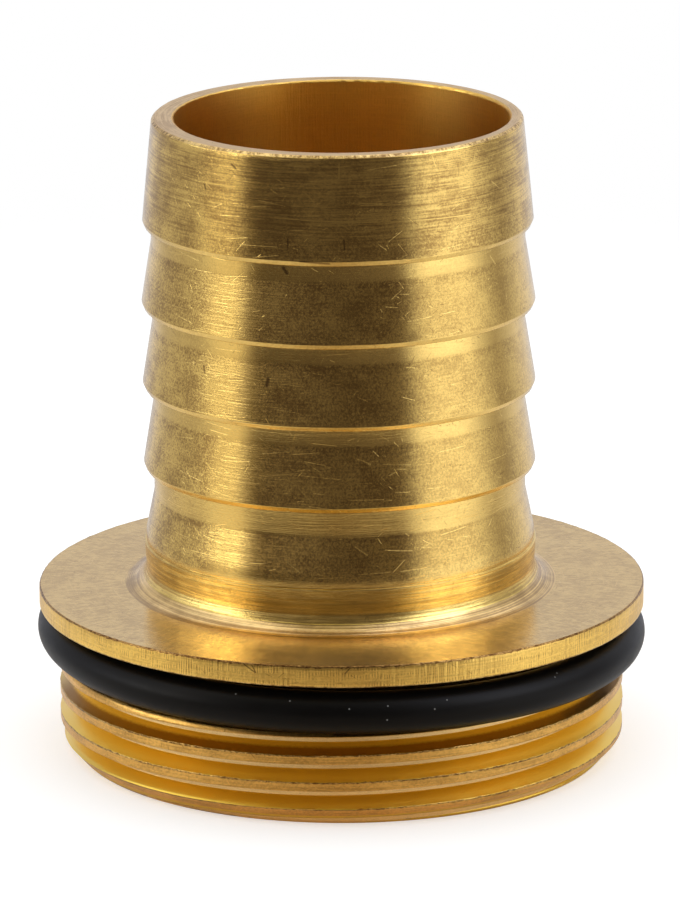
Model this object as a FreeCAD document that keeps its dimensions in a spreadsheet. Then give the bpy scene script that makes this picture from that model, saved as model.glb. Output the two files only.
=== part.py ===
import FreeCAD, Part
import math
import os
import Sketcher

# Threaded hose connector: a turned brass hose tail with a thin flange and a parallel pipe thread,
# and the rubber O-ring that sits in the relief behind the thread.
# Millimetres and degrees. +Z points up the hose tail. The origin is the centre of the flat end of
# the thread, on the thread's axis.

doc = FreeCAD.newDocument("threaded_hose_connector")

# Driving dimensions
SIZES = [
    ("spigot_height", 12.55, "flat end of the thread to the underside of the flange"),
    ("thread_dia", 47.8, "over the crests, as on a G 1 1/2 pipe thread"),
    ("thread_pitch", 2.309, "11 turns to the inch"),
    ("thread_land", 0.62, "flat left on each crest"),
    ("thread_flank", 27.5, "half of the 55 degree thread angle"),
    ("thread_root", 0.31, "radius at the bottom of the groove"),
    ("thread_phase", 0.717, "height of the first whole groove on the +X side"),
    ("end_chamfer_depth", 1.45, "lead-in at the flat end, along the radius"),
    ("end_chamfer_height", 1.6, "lead-in at the flat end, along the axis"),
    ("relief_depth", 1.7, "crests to the plain relief where the O-ring sits"),
    ("relief_chamfer", 0.25, "edge between the relief and the thread"),
    ("flange_overhang", 1.7, "flange beyond the crests"),
    ("flange_thickness", 1.85, "flange, along the axis"),
    ("bore_dia", 28.0, "waterway through the hose tail"),
    ("bore_chamfer", 0.2, "inner edge of the lip"),
    ("lip_wall", 1.52, "wall of the tail at its lip"),
    ("lip_chamfer", 0.25, "outer edge of the lip"),
    ("first_barb_drop", 9.03, "lip to the lower edge of the first barb"),
    ("first_barb_height", 0.7, "first barb, out from the neck under it"),
    ("barb_pitch", 6.93, "lower edge of one barb to the next"),
    ("barb_height", 0.85, "second, third and fourth barbs, out from the neck"),
    ("barb_land", 0.4, "narrow flat at the lower edge of these barbs"),
    ("neck_wall", 1.65, "wall of the tail at each neck"),
    ("neck_height", 1.4, "plain neck under each of the first three barbs"),
    ("last_neck_height", 2.2, "plain neck above the last barb"),
    ("last_barb_pitch", 6.48, "lower edge of the fourth barb to that of the last"),
    ("last_barb_height", 0.75, "last barb, out from the neck above it"),
    ("last_barb_land", 0.7, "flat at the lower edge of the last barb"),
    ("collar_step", 0.15, "collar under the last barb, out from that barb"),
    ("collar_taper", 3.7, "degrees by which the collar narrows towards the flange"),
    ("root_height", 3.8, "lower edge of the last barb to the flange"),
    ("root_fillet", 1.8, "round from the collar into the flange"),
    ("spigot_wall", 3.2, "relief to the wider waterway in the threaded end"),
    ("spigot_bore_chamfer", 0.6, "inner edge of the flat end"),
    ("shoulder_drop", 2.55, "underside of the flange down to the foot of the inner shoulder"),
    ("shoulder_rise", 0.6, "top of the flange up to the end of the inner shoulder"),
    ("tail_lean", 0.4, "the tail was turned in a second chucking and leans towards -X"),
    ("lean_height", 3.2, "where the two turning axes cross"),
    ("ring_cord_dia", 3.5, "O-ring section"),
    ("ring_clearance", 0.05, "between the O-ring and the brass around it"),
    ("ring_tilt", 1.0, "the O-ring sits a little crooked in the relief"),
    ("ring_low_side", -50.0, "direction in which it hangs lowest, from +X"),
]
EQUAL_BARBS = 3

# Room that the cutting outlines leave outside the metal
STOCK = 3.0
THREAD_OVERCUT = 0.1

# Turns that the groove runs on past both ends of the thread, together
THREAD_RUNOUT = 1.25

sheet = doc.addObject("Spreadsheet::Sheet", "Sizes")
for row, (alias, size, note) in enumerate(SIZES, start=1):
    sheet.set("A%d" % row, alias)
    sheet.set("B%d" % row, str(size))
    sheet.set("C%d" % row, note)
    sheet.setAlias("B%d" % row, alias)
doc.recompute()

# Radii and heights that follow from the driving dimensions
CREST = "Sizes.thread_dia / 2"
RELIEF = CREST + " - Sizes.relief_depth"
RIM = CREST + " + Sizes.flange_overhang"
BORE = "Sizes.bore_dia / 2"
SPIGOT_BORE = RELIEF + " - Sizes.spigot_wall"
NECK = BORE + " + Sizes.neck_wall"
LAST_BARB = NECK + " + Sizes.last_barb_height"
COLLAR = LAST_BARB + " + Sizes.collar_step"
COLLAR_FOOT = COLLAR + " - (Sizes.root_height - Sizes.root_fillet) * tan(Sizes.collar_taper)"
LIP = BORE + " + Sizes.lip_wall"
FLANGE_TOP = "Sizes.spigot_height + Sizes.flange_thickness"
TAIL_HEIGHT = (
    f"Sizes.first_barb_drop + {EQUAL_BARBS} * Sizes.barb_pitch"
    " + Sizes.last_barb_pitch + Sizes.root_height"
)
RING_RADIUS = RELIEF + " + Sizes.ring_clearance + Sizes.ring_cord_dia / 2"
RING_RISE = f"({RING_RADIUS}) * sin(Sizes.ring_tilt)"
RELIEF_WIDTH = f"Sizes.ring_cord_dia + 2 * {RING_RISE} + 2 * Sizes.ring_clearance"
THREAD_TOP = f"Sizes.spigot_height - ({RELIEF_WIDTH})"


def plane_of(body, role):
    """One of a body's own origin planes."""
    return next(item for item in body.Origin.OriginFeatures if item.Role == role)


def now(formula):
    """What a formula of the sheet's sizes comes to."""
    return float(sheet.evalExpression(formula))


def dimension(sketch, formula, *geometry):
    """Tie one dimension of a sketch to a formula."""
    index = sketch.addConstraint(Sketcher.Constraint(*geometry, now(formula)))
    sketch.setExpression(f"Constraints[{index}]", formula)


def arc_between(start, end, radius):
    """The short arc that runs anticlockwise from one point to the next."""
    chord = end - start
    left = FreeCAD.Vector(-chord.y, chord.x, 0).normalize()
    rise = math.sqrt(radius ** 2 - (chord.Length / 2) ** 2)
    centre = (start + end) / 2 + left * rise
    angles = [math.atan2(point.y - centre.y, point.x - centre.x) for point in (start, end)]
    circle = Part.Circle(centre, FreeCAD.Vector(0, 0, 1), radius)
    return Part.ArcOfCircle(circle, angles[0], angles[1])


def outline(body, name, corners, arcs=None):
    """A closed outline in the XZ plane through corners of (radius, height) formulas.

    arcs gives the radius of each side that is round, by the number of its first corner.
    """
    arcs = arcs or {}
    sketch = body.newObject("Sketcher::SketchObject", name)
    sketch.AttachmentSupport = (plane_of(body, "XZ_Plane"), [""])
    sketch.MapMode = "FlatFace"
    places = [FreeCAD.Vector(now(radius), now(height), 0) for radius, height in corners]
    count = len(corners)
    for side in range(count):
        start = places[side]
        end = places[(side + 1) % count]
        if side in arcs:
            sketch.addGeometry(arc_between(start, end, now(arcs[side])), False)
        else:
            sketch.addGeometry(Part.LineSegment(start, end), False)
    for side in range(count):
        sketch.addConstraint(Sketcher.Constraint("Coincident", side, 2, (side + 1) % count, 1))
    for side, radius in arcs.items():
        dimension(sketch, radius, "Radius", side)
    for side, (radius, height) in enumerate(corners):
        if radius == "0":
            sketch.addConstraint(Sketcher.Constraint("PointOnObject", side, 1, -2))
        else:
            dimension(sketch, radius, "DistanceX", -1, 1, side, 1)
        dimension(sketch, height, "DistanceY", -1, 1, side, 1)
    return sketch


def revolved(body, kind, name, sketch):
    """Turn an outline all round its own upright axis, to add metal or to cut it."""
    feature = body.newObject(kind, name)
    feature.Profile = sketch
    feature.ReferenceAxis = (sketch, ["V_Axis"])
    feature.Angle = 360
    doc.recompute()
    return feature


def bar_outline(body):
    """The threaded end and the flange, with uncut bar above them."""
    end_radius = CREST + " - Sizes.end_chamfer_depth"
    top = f"{FLANGE_TOP} + {TAIL_HEIGHT} + {STOCK}"
    corners = [
        ("0", "0"),
        (end_radius, "0"),
        (CREST, "Sizes.end_chamfer_height"),
        (CREST, f"{THREAD_TOP} - Sizes.relief_chamfer"),
        (CREST + " - Sizes.relief_chamfer", THREAD_TOP),
        (RELIEF, THREAD_TOP),
        (RELIEF, "Sizes.spigot_height"),
        (RIM, "Sizes.spigot_height"),
        (RIM, top),
        ("0", top),
    ]
    return outline(body, "BarOutline", corners)


def barb_corners(crest, edge, land, below, below_end):
    """A barb's narrow flat, the square step at its edge and what follows down to the next corner."""
    return [(crest, f"{edge} + {land}"), (crest, edge), (below, edge), below_end]


def tail_outline(body):
    """All that is cut away outside the hose tail, from its lip down to the top of the flange.

    Heights count from the point where the tail's axis crosses the thread's.
    """
    face = f"{FLANGE_TOP} - Sizes.lean_height"
    lip = f"{face} + {TAIL_HEIGHT}"
    outside = f"{RIM} + {STOCK}"
    above = f"{lip} + 2 * {STOCK}"
    corners = [
        ("0", lip),
        (LIP + " - Sizes.lip_chamfer", lip),
        (LIP, f"{lip} - Sizes.lip_chamfer"),
    ]
    edge = f"{lip} - Sizes.first_barb_drop"
    crest = NECK + " + Sizes.first_barb_height"
    neck_end = (NECK, f"{edge} - Sizes.neck_height")
    corners += barb_corners(crest, edge, "Sizes.barb_land", NECK, neck_end)
    for number in range(1, EQUAL_BARBS + 1):
        edge = f"{lip} - Sizes.first_barb_drop - {number} * Sizes.barb_pitch"
        crest = NECK + " + Sizes.barb_height"
        height = "last_neck_height" if number == EQUAL_BARBS else "neck_height"
        neck_end = (NECK, f"{edge} - Sizes.{height}")
        corners += barb_corners(crest, edge, "Sizes.barb_land", NECK, neck_end)
    edge = f"{face} + Sizes.root_height"
    collar_end = (COLLAR_FOOT, f"{face} + Sizes.root_fillet")
    corners += barb_corners(LAST_BARB, edge, "Sizes.last_barb_land", COLLAR, collar_end)
    fillet_side = len(corners) - 1
    corners += [
        (COLLAR_FOOT + " + Sizes.root_fillet", face),
        (outside, face),
        (outside, above),
        ("0", above),
    ]
    sketch = outline(body, "TailOutline", corners, {fillet_side: "Sizes.root_fillet"})
    turn = FreeCAD.Rotation(FreeCAD.Vector(0, 0, 1), 1)
    sketch.AttachmentOffset = FreeCAD.Placement(FreeCAD.Vector(0, 0, 0), turn)
    sketch.setExpression("AttachmentOffset.Base.y", "Sizes.lean_height")
    sketch.setExpression("AttachmentOffset.Rotation.Angle", "Sizes.tail_lean")
    return sketch


def waterway_outline(body):
    """The bore, the shoulder and the wider bore in the threaded end."""
    lip = f"{FLANGE_TOP} + {TAIL_HEIGHT}"
    above = f"{lip} + {STOCK}"
    corners = [
        ("0", "0"),
        (SPIGOT_BORE + " + Sizes.spigot_bore_chamfer", "0"),
        (SPIGOT_BORE, "Sizes.spigot_bore_chamfer"),
        (SPIGOT_BORE, "Sizes.spigot_height - Sizes.shoulder_drop"),
        (BORE, f"{FLANGE_TOP} + Sizes.shoulder_rise"),
        (BORE, f"{lip} - Sizes.bore_chamfer"),
        (f"{BORE} + Sizes.bore_chamfer + {STOCK}", above),
        ("0", above),
    ]
    return outline(body, "WaterwayOutline", corners)


def thread_outline(body):
    """One groove of the thread: straight flanks and a round root."""
    centre = "Sizes.thread_phase - Sizes.thread_pitch"
    half_opening = "(Sizes.thread_pitch - Sizes.thread_land) / 2"
    root_centre = (
        f"{CREST} - {half_opening} / tan(Sizes.thread_flank)"
        " + Sizes.thread_root / sin(Sizes.thread_flank)"
    )
    touch = root_centre + " - Sizes.thread_root * sin(Sizes.thread_flank)"
    half_root = "Sizes.thread_root * cos(Sizes.thread_flank)"
    outside = f"{CREST} + {THREAD_OVERCUT}"
    half_outside = f"({half_opening} + {THREAD_OVERCUT} * tan(Sizes.thread_flank))"
    corners = [
        (outside, f"{centre} + {half_outside}"),
        (touch, f"{centre} + {half_root}"),
        (touch, f"{centre} - {half_root}"),
        (outside, f"{centre} - {half_outside}"),
    ]
    return outline(body, "ThreadOutline", corners, {1: "Sizes.thread_root"})


def cut_thread(body):
    """Run the groove from below the flat end up into the relief."""
    sketch = thread_outline(body)
    groove = body.newObject("PartDesign::SubtractiveHelix", "Thread")
    groove.Profile = sketch
    groove.ReferenceAxis = (sketch, ["V_Axis"])
    groove.Mode = 0
    groove.Angle = 0
    groove.setExpression("Pitch", "Sizes.thread_pitch")
    groove.setExpression("Height", f"{THREAD_TOP} + {THREAD_RUNOUT} * Sizes.thread_pitch")
    doc.recompute()
    return groove


def make_connector():
    """The turned body, in the order of its cuts."""
    body = doc.addObject("PartDesign::Body", "connector_body")
    body.Label = "connector_body"
    features = [revolved(body, "PartDesign::Revolution", "Bar", bar_outline(body))]
    features.append(revolved(body, "PartDesign::Groove", "Tail", tail_outline(body)))
    features.append(revolved(body, "PartDesign::Groove", "Waterway", waterway_outline(body)))
    features.append(cut_thread(body))
    for before, after in zip(features, features[1:]):
        if not after.Shape.Volume < before.Shape.Volume:
            raise RuntimeError(after.Label + " cut nothing")
    return body


def make_ring():
    """The O-ring, hung a little crooked under the flange."""
    ring = doc.addObject("Part::Torus", "o_ring")
    ring.Label = "o_ring"
    ring.setExpression("Radius1", RING_RADIUS)
    ring.setExpression("Radius2", "Sizes.ring_cord_dia / 2")
    ring.setExpression("Placement.Rotation.Yaw", "Sizes.ring_low_side")
    ring.setExpression("Placement.Rotation.Pitch", "Sizes.ring_tilt")
    centre = f"Sizes.spigot_height - Sizes.ring_clearance - Sizes.ring_cord_dia / 2 - {RING_RISE}"
    ring.setExpression("Placement.Base.z", centre)
    doc.recompute()
    return ring


def check(pieces):
    """Stop if the document holds a failed object or a piece that is not one valid solid."""
    for item in doc.Objects:
        if "Invalid" in item.State or "Error" in item.State:
            raise RuntimeError(item.Label + " failed")
    for piece in pieces:
        shape = piece.Shape
        if shape.isNull() or not shape.isValid() or len(shape.Solids) != 1:
            raise RuntimeError(piece.Label + " is not one valid solid")


pieces = [make_connector(), make_ring()]
doc.recompute()
check(pieces)
os.makedirs("parts", exist_ok=True)
for piece in pieces:
    piece.Shape.exportStep("parts/" + piece.Label + ".step")
    box = piece.Shape.BoundBox
    size = f"{box.XLength:.2f} x {box.YLength:.2f} x {box.ZLength:.2f} mm"
    print(f"{piece.Label}: {size}, {piece.Shape.Volume:.1f} mm3")
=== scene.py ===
import math

import bmesh
import bpy
import numpy as np
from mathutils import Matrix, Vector


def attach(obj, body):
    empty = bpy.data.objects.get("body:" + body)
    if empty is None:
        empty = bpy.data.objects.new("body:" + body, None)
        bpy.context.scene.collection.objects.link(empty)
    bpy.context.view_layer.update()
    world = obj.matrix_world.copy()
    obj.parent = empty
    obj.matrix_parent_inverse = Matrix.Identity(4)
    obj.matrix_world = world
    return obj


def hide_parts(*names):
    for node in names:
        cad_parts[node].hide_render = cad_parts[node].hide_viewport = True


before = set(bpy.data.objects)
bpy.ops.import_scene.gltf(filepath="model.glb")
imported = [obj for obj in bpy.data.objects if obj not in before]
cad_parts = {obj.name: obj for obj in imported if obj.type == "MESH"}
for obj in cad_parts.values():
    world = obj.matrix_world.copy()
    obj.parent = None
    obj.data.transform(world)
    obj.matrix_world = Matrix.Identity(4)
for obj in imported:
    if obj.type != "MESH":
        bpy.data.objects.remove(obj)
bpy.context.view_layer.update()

# Threaded hose connector: a turned brass body and the rubber O-ring that hangs in its relief.
# Sizes are in millimetres and are scaled to metres where a mesh is made.

MM = 0.001

# The threaded end and the flange
SPIGOT_HEIGHT = 12.55
FLANGE_TOP = SPIGOT_HEIGHT + 1.85
CREST = 23.9
RELIEF = CREST - 1.7
RIM = CREST + 1.7
SPIGOT_BORE = RELIEF - 3.2
SPIGOT_BORE_CHAMFER = 0.6
SHOULDER_FOOT = SPIGOT_HEIGHT - 2.55
SHOULDER_TOP = FLANGE_TOP + 0.6
END_CHAMFER_DEPTH = 1.45
END_CHAMFER_HEIGHT = 1.6
RELIEF_CHAMFER = 0.25

# The hose tail, whose axis leans and crosses the thread's axis at LEAN_HEIGHT
BORE = 14.0
LIP = BORE + 1.52
NECK = BORE + 1.65
FIRST_BARB = NECK + 0.7
BARB = NECK + 0.85
LAST_BARB = NECK + 0.75
COLLAR = LAST_BARB + 0.15
COLLAR_TAPER = math.radians(3.7)
TAIL_HEIGHT = 40.1
FIRST_BARB_DROP = 9.03
EQUAL_BARBS = 3
BARB_PITCH = 6.93
BARB_LAND = 0.4
NECK_HEIGHT = 1.4
LAST_NECK_HEIGHT = 2.2
LAST_BARB_LAND = 0.7
ROOT_HEIGHT = 3.8
ROOT_FILLET = 1.8
COLLAR_FOOT = COLLAR - (ROOT_HEIGHT - ROOT_FILLET) * math.tan(COLLAR_TAPER)
LEAN_HEIGHT = 3.2
LEAN = math.radians(0.4)

# Heights along the tail's own axis
TAIL_FOOT = FLANGE_TOP - LEAN_HEIGHT
TAIL_LIP = TAIL_FOOT + TAIL_HEIGHT

# The O-ring
CORD = 3.5
RING_CLEARANCE = 0.05
RING_TILT = math.radians(1.0)
RING_LOW_SIDE = math.radians(-50)
RING_RADIUS = RELIEF + RING_CLEARANCE + CORD / 2
RING_RISE = RING_RADIUS * math.sin(RING_TILT)

# The thread, between the flat end and the relief
PITCH = 2.309
THREAD_PHASE = 0.717
CREST_PHASE = THREAD_PHASE + PITCH / 2
THREAD_TOP = SPIGOT_HEIGHT - CORD - 2 * RING_CLEARANCE - 2 * RING_RISE

# Columns of points round the turned surface, closest together on the side that faces the camera
FRONT = -math.pi / 2
COLUMNS = 404
SPARSEST = 0.3
sweep = np.linspace(-math.pi, math.pi, 7201)
crowding = np.maximum(np.cos(sweep), SPARSEST)
reached = np.concatenate([[0], np.cumsum((crowding[1:] + crowding[:-1]) / 2)])
PHI = FRONT + np.interp(np.linspace(0, reached[-1], COLUMNS + 1), reached, sweep)
COS, SIN = np.cos(PHI), np.sin(PHI)
TURNS = PHI / (2 * math.pi)


def jagged(seed, count, power=1.0):
    """Random heights from 0 to 1 round the circle, count of them, with straight runs between."""
    heights = np.random.RandomState(seed).rand(count) ** power
    places = np.linspace(0, 2 * math.pi, count + 1)
    return np.interp(PHI % (2 * math.pi), places, np.append(heights, heights[0]))


# Turns of the helix, counted from the one whose crest is at CREST_PHASE
FIRST_TURN = -6
LAST_TURN = 7


def jagged_helix(seed, count, turn, power=1.0):
    """The same along a thread's crest, count to a turn, running on from one turn to the next."""
    total = (LAST_TURN - FIRST_TURN) * count + 1
    heights = np.random.RandomState(seed).rand(total) ** power
    return np.interp(turn + TURNS, np.linspace(FIRST_TURN, LAST_TURN, total), heights)


def wavy(seed, orders, size):
    """A smooth random wave round the circle, of a few whole numbers of waves."""
    random = np.random.RandomState(seed)
    total = np.zeros_like(PHI)
    for order in orders:
        total += random.normal() * np.cos(order * PHI + random.rand() * 2 * math.pi)
    return size * total / math.sqrt(len(orders))


# Rings of points
def spigot_ring(radius, height):
    """Round the thread's axis."""
    radius = radius + 0 * PHI
    return np.stack([radius * COS, radius * SIN, height + 0 * PHI], 1)


def tail_ring(radius, height):
    """Round the tail's own axis, with heights from where it crosses the thread's."""
    radius = radius + 0 * PHI
    across = radius * COS
    x = across * math.cos(LEAN) - height * math.sin(LEAN)
    z = LEAN_HEIGHT + across * math.sin(LEAN) + height * math.cos(LEAN)
    return np.stack([x, radius * SIN, z + 0 * PHI], 1)


def faced_ring(radius, height, drop=0.0):
    """Round the thread's axis, in the plane that was faced square to the tail's axis."""
    ring = spigot_ring(radius, 0.0)
    plane = LEAN_HEIGHT + (height + ring[:, 0] * math.sin(LEAN)) / math.cos(LEAN)
    ring[:, 2] = plane - drop
    return ring


def lip_dents():
    """Small dents round both edges of the lip, from 0 to 1."""
    return jagged(5, 260, 4)


def mouth_ring():
    """The dented inner edge of the lip, where the profile begins and ends."""
    return faced_ring(BORE + 0.17, TAIL_LIP, 0.03 + 0.05 * lip_dents())


# Zones of the surface, in the order of the material slots
ZONES = [
    "bore", "lip", "tail", "edge", "root", "fillet", "face", "rim",
    "under", "flank", "groove", "burr", "chip", "land", "end",
]


class Turning:
    """Rings added one after another along the profile, each with the zone of the band before it.

    Wear runs from 0 on metal that kept its tarnish to 1 where it was rubbed bright, and below 0
    where dirt was kept.
    """

    def __init__(self):
        self.rings = []
        self.zones = []
        self.along = []
        self.wear = []

    def add(self, ring, zone, wear=0.0):
        step = np.linalg.norm(ring - self.rings[-1], axis=1).mean() if self.rings else 0.0
        self.along.append(self.along[-1] + step if self.rings else 0.0)
        self.rings.append(ring)
        self.zones.append(ZONES.index(zone))
        self.wear.append(wear)


def add_barb(turning, radius, edge, seed):
    """The narrow flat of a barb, worn back to its torn lower edge, and the square step under it."""
    tear = jagged(seed, 700, 3)
    dip = wavy(seed + 1, range(2, 14), 0.012)
    land = edge + BARB_LAND
    profile = [
        (radius - 0.012, land + 0.05 + 2 * dip, 0.1),
        (radius, land + 2 * dip, 0.6),
        (radius - 0.015, land - 0.04 + 2 * dip, 1.0),
        (radius - 0.08, edge + 0.5 * BARB_LAND + dip, 1.0),
        (radius - 0.14, edge + 0.08 + dip, 1.0),
        (radius - 0.155 + 0.015 * tear, edge + 0.04 + dip, 1.0),
        (radius - 0.18 + 0.04 * tear, edge - 0.02 * tear + dip, 0.6),
        (radius - 0.24, edge + 0.01 + 0.5 * dip, 0.3),
        (NECK + 0.08, edge, 0.8),
        (NECK, edge - 0.1, 0.9),
    ]
    for across, height, wear in profile:
        turning.add(tail_ring(across, height), "tail", wear)


def barb_cones():
    """Each cone's upper radius and height, and its lower radius and edge, from the lip down."""
    edge = TAIL_LIP - FIRST_BARB_DROP
    cones = [(LIP, TAIL_LIP - 0.3, FIRST_BARB, edge)]
    for _ in range(EQUAL_BARBS):
        cones.append((NECK, edge - NECK_HEIGHT, BARB, edge - BARB_PITCH))
        edge -= BARB_PITCH
    cones.append((NECK, edge - LAST_NECK_HEIGHT, LAST_BARB, TAIL_FOOT + ROOT_HEIGHT))
    return cones


# Rows down a cone, as shares of its height, with their wear: dirt stays in the corner at its top
CONE_ROWS = [(0.04, -0.7), (0.1, -0.7), (0.2, 0.0), (0.4, 0.0), (0.6, 0.0), (0.8, 0.0)]


def add_tail(turning):
    """From the lip down the barbs to the top of the flange."""
    turning.add(mouth_ring(), "lip")
    turning.add(faced_ring(BORE + 0.26, TAIL_LIP), "lip")
    turning.add(tail_ring(LIP - 0.31, TAIL_LIP), "lip")
    turning.add(tail_ring(LIP - 0.25, TAIL_LIP - 0.02 - 0.03 * lip_dents()), "lip")
    turning.add(tail_ring(LIP - 0.05, TAIL_LIP - 0.2), "edge")
    turning.add(tail_ring(LIP, TAIL_LIP - 0.3), "tail", 0.2)
    cones = barb_cones()
    for number, (top_radius, top, radius, edge) in enumerate(cones):
        last = number == len(cones) - 1
        foot = edge + (LAST_BARB_LAND if last else BARB_LAND)
        if number:
            turning.add(tail_ring(top_radius, top + 0.25), "tail", 0.8)
            turning.add(tail_ring(top_radius + 0.01, top - 0.05), "tail", 0.55)
        unevenness = wavy(60 + number, range(3, 9), 0.003)
        for share, wear in CONE_ROWS:
            across = top_radius + (radius - top_radius) * share + unevenness
            height = top + (foot - top) * share
            turning.add(tail_ring(across, height), "tail", wear if number else 0.0)
        if not last:
            add_barb(turning, radius, edge, 11 + 3 * number)
    turning.add(tail_ring(LAST_BARB, foot), "tail", 0.3)
    turning.add(tail_ring(LAST_BARB - 0.01, edge + 0.06), "tail", 0.8)
    turning.add(tail_ring(LAST_BARB - 0.05, edge), "root")
    add_root(turning)


# Depths along the upper part of the round into the flange, where the tool's feed left three
# grooves with ridges between them
RIDGES = [0.0, 0.02, 0.025, 0.016, 0.0, 0.018, 0.02, 0.014, 0.0, 0.014, 0.016, 0.01, 0.0]


def add_root(turning):
    """The collar under the last barb, the feed ridges and the round into the flange."""
    random = np.random.RandomState(31)
    top = TAIL_FOOT + ROOT_HEIGHT
    foot = TAIL_FOOT + ROOT_FILLET
    turning.add(tail_ring(COLLAR - 0.04, top - 0.01), "root")
    for share in np.linspace(0.02, 1, 12):
        radius = COLLAR + (COLLAR_FOOT - COLLAR) * share - 0.008 * random.rand()
        turning.add(tail_ring(radius, top + (foot - top) * share), "root")
    rows = list(zip(np.linspace(3, 33, len(RIDGES)), RIDGES))
    rows += [(degrees, 0.006 * random.rand()) for degrees in np.linspace(40, 90, 8)]
    for degrees, cut in rows:
        angle = math.radians(degrees)
        radius = ROOT_FILLET + cut
        across = COLLAR_FOOT + ROOT_FILLET - radius * math.cos(angle)
        zone = "root" if degrees < 35 else "fillet"
        turning.add(tail_ring(across, foot - radius * math.sin(angle)), zone)


def add_flange(turning):
    """The faced top, the rim with its chattered edges, the underside and the relief."""
    inner = tail_ring(COLLAR_FOOT + ROOT_FILLET, TAIL_FOOT)
    outer = faced_ring(RIM - 0.17, TAIL_FOOT)
    for share in (0.06, 0.2, 0.4, 0.6, 0.8, 0.9, 0.96, 1.0):
        turning.add(inner + (outer - inner) * share, "face")
    chip = jagged(41, 900, 4)
    burr = jagged(43, 1100, 1.5)
    turning.add(faced_ring(RIM - 0.12 - 0.05 * chip, TAIL_FOOT, -0.015 * burr), "face")
    turning.add(faced_ring(RIM - 0.05 - 0.06 * chip, TAIL_FOOT, 0.03 - 0.02 * burr), "chip")
    turning.add(faced_ring(RIM - 0.005, TAIL_FOOT, 0.12 + 0.11 * chip), "chip")
    top = faced_ring(RIM, TAIL_FOOT, 0.26)
    low = spigot_ring(RIM, SPIGOT_HEIGHT + 0.16)
    for share in (0.1, 0.35, 0.65, 0.9):
        turning.add(top + (low - top) * share, "rim")
    turning.add(spigot_ring(RIM, SPIGOT_HEIGHT + 0.14), "rim")
    turning.add(spigot_ring(RIM - 0.03 - 0.03 * chip, SPIGOT_HEIGHT + 0.05), "edge")
    turning.add(spigot_ring(RIM - 0.12, SPIGOT_HEIGHT), "edge")
    turning.add(spigot_ring(RELIEF + 0.1, SPIGOT_HEIGHT), "under")
    turning.add(spigot_ring(RELIEF, SPIGOT_HEIGHT - 0.1), "under")
    turning.add(spigot_ring(RELIEF, THREAD_TOP + 0.1), "under")
    turning.add(spigot_ring(RELIEF + 0.1, THREAD_TOP), "under")


# Corners of one turn of the thread, as heights up from the foot of the groove's flat bottom,
# and the height of that foot from the helix that runs along the crest
GROOVE = CREST - 1.3
TURN_HEIGHTS = [0.0, 0.37, 0.75, 1.48, PITCH]
TURN_RADII = [GROOVE, GROOVE, CREST, CREST, GROOVE]
GROOVE_FOOT = -1.17

# Rows of points in one turn, as heights from that helix, and how much of the burr along the
# crest's upper edge each of them takes
ROW_OFFSETS = [
    -1.15, -1.0, -0.84, -0.8, -0.76, -0.6, -0.46, -0.42, -0.36, -0.1,
    0.1, 0.2, 0.27, 0.32, 0.37, 0.52, 0.7, 0.95, 1.1, 1.139,
]
BURR_ROWS = {0.2: 0.15, 0.27: 0.9, 0.32: 1.0, 0.37: 0.6}
BURR_DEPTH = 0.06
BURR_HEIGHT = 0.09


def thread_radius(offset):
    """Radius of the thread at heights counted from the helix along its crest."""
    return np.interp((offset - GROOVE_FOOT) % PITCH, TURN_HEIGHTS, TURN_RADII)


def thread_limit(height):
    """The lead-in and the relief's chamfer, which the thread can't stand out of."""
    low = CREST - END_CHAMFER_DEPTH * (1 - np.clip(height / END_CHAMFER_HEIGHT, 0, 1))
    high = CREST - np.maximum(height - (THREAD_TOP - RELIEF_CHAMFER), 0)
    return np.minimum(low, high)


def thread_rows():
    """Heights and radii of the rows that run up the helix, clipped to the thread's length."""
    first = CREST_PHASE + PITCH * TURNS
    rows = []
    for turn in range(FIRST_TURN + 1, LAST_TURN):
        for offset in ROW_OFFSETS:
            heights = first + turn * PITCH + offset
            if heights.max() <= -PITCH or heights.min() >= THREAD_TOP + PITCH:
                continue
            rows.append((np.clip(heights, 0, THREAD_TOP), offset, turn))
    heights = np.stack([row[0] for row in rows])
    snap_to_creases(heights)
    radii = thread_radius(heights - first)
    limit = thread_limit(heights)
    torn = np.zeros_like(radii)
    lifted = np.zeros_like(radii)
    for place, (_, offset, turn) in enumerate(rows):
        if offset in BURR_ROWS:
            torn[place] = BURR_ROWS[offset] * BURR_DEPTH * jagged_helix(80, 760, turn, 2.0)
            lifted[place] = BURR_ROWS[offset] * BURR_HEIGHT * jagged_helix(81, 760, turn, 1.5)
    whole = (radii < limit - 1e-9) | (limit >= CREST)
    whole = whole & (heights > 0.1) & (heights < THREAD_TOP - 0.2)
    radii = np.minimum(radii, limit) + torn * whole
    heights = heights + lifted * whole
    return heights, radii, [row[1] for row in rows]


def snap_to_creases(heights):
    """Move the nearest row onto each line where the thread runs out into a chamfer."""
    first = CREST_PHASE + PITCH * TURNS
    gap = thread_radius(heights - first) - thread_limit(heights)
    for row in range(len(heights) - 1):
        low, high = heights[row], heights[row + 1]
        crossing = (gap[row] * gap[row + 1] < 0) & (high - low > 1e-6)
        share = np.where(crossing, gap[row] / np.where(crossing, gap[row] - gap[row + 1], 1), 0)
        place = low + (high - low) * share
        nearer_low = crossing & (share < 0.5) & (low > 0)
        nearer_high = crossing & ~nearer_low & (high < THREAD_TOP)
        heights[row] = np.where(nearer_low, place, heights[row])
        heights[row + 1] = np.where(nearer_high, place, heights[row + 1])


def thread_zone(offset):
    """The zone of the band just above a row."""
    if -0.42 <= offset < 0.2:
        return "land"
    # The burr's band carries painted shade as well as its own colour
    if 0.2 <= offset < 0.32:
        return "burr"
    if offset < -0.8 or offset > 1.13:
        return "groove"
    return "flank"


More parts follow.
